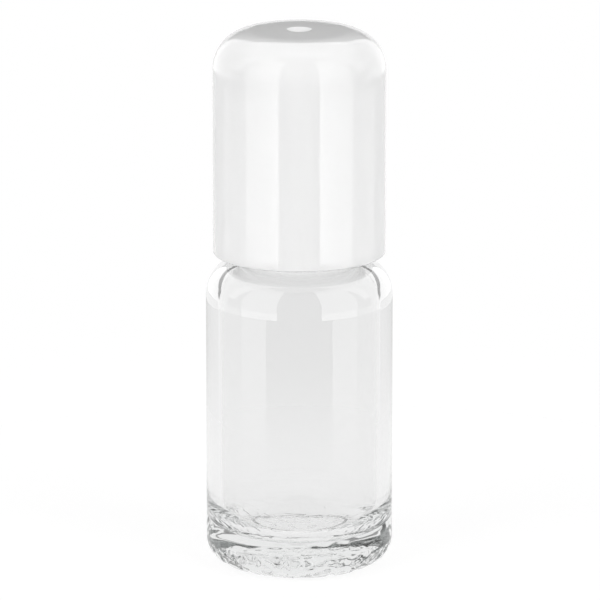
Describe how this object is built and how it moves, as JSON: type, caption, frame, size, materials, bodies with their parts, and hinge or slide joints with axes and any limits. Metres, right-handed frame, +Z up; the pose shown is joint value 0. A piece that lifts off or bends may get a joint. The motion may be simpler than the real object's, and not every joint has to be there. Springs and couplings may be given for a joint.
{
  "type": "roll on bottle",
  "caption": "Small clear glass roll-on bottle with a round shoulder, a snap-in ball housing and a tall glossy white screw cap with a domed top.",
  "frame": {"origin": "middle of the base, on the surface that the bottle stands on", "axes": "+Z up along the bottle's axis, towards the cap; the bottle is round, so +X is free"},
  "size_m": [0.022, 0.022, 0.0642],
  "materials": {
    "clear_glass": "clear moulded flint glass, fire polished",
    "natural_plastic": "natural, slightly see-through soft plastic",
    "ball_plastic": "polished white plastic",
    "soft_plastic": "soft, matt",
    "insert_plastic": "as moulded, satin",
    "white_plastic": "polished white plastic"
  },
  "bodies": {
    "bottle": {"glass_bottle": "clear_glass", "ball_housing": "natural_plastic"},
    "ball": {"roller_ball": "ball_plastic"},
    "pad": {"sealing_pad": "soft_plastic"},
    "cap": {"cap_shell": "white_plastic", "cap_insert": "insert_plastic"}
  },
  "joints": [
    {"name": "ball_roll", "type": "hinge", "parent": "bottle", "child": "ball", "pos_m": [0, 0, 0.0509], "axis": [1, 0, 0], "continuous": true},
    {"name": "cap_lift", "type": "slide", "parent": "bottle", "child": "pad", "axis": [0, 0, 1], "range_m": [0, 0.021]},
    {"name": "cap_turn", "type": "hinge", "parent": "pad", "child": "cap", "pos_m": [0, 0, 0.05], "axis": [0, 0, 1], "range_deg": [0, 2520]}
  ],
  "couplings": [
    {"joint": "cap_lift", "follows": "cap_turn", "m_per_rad": 0.00047746}
  ]
}
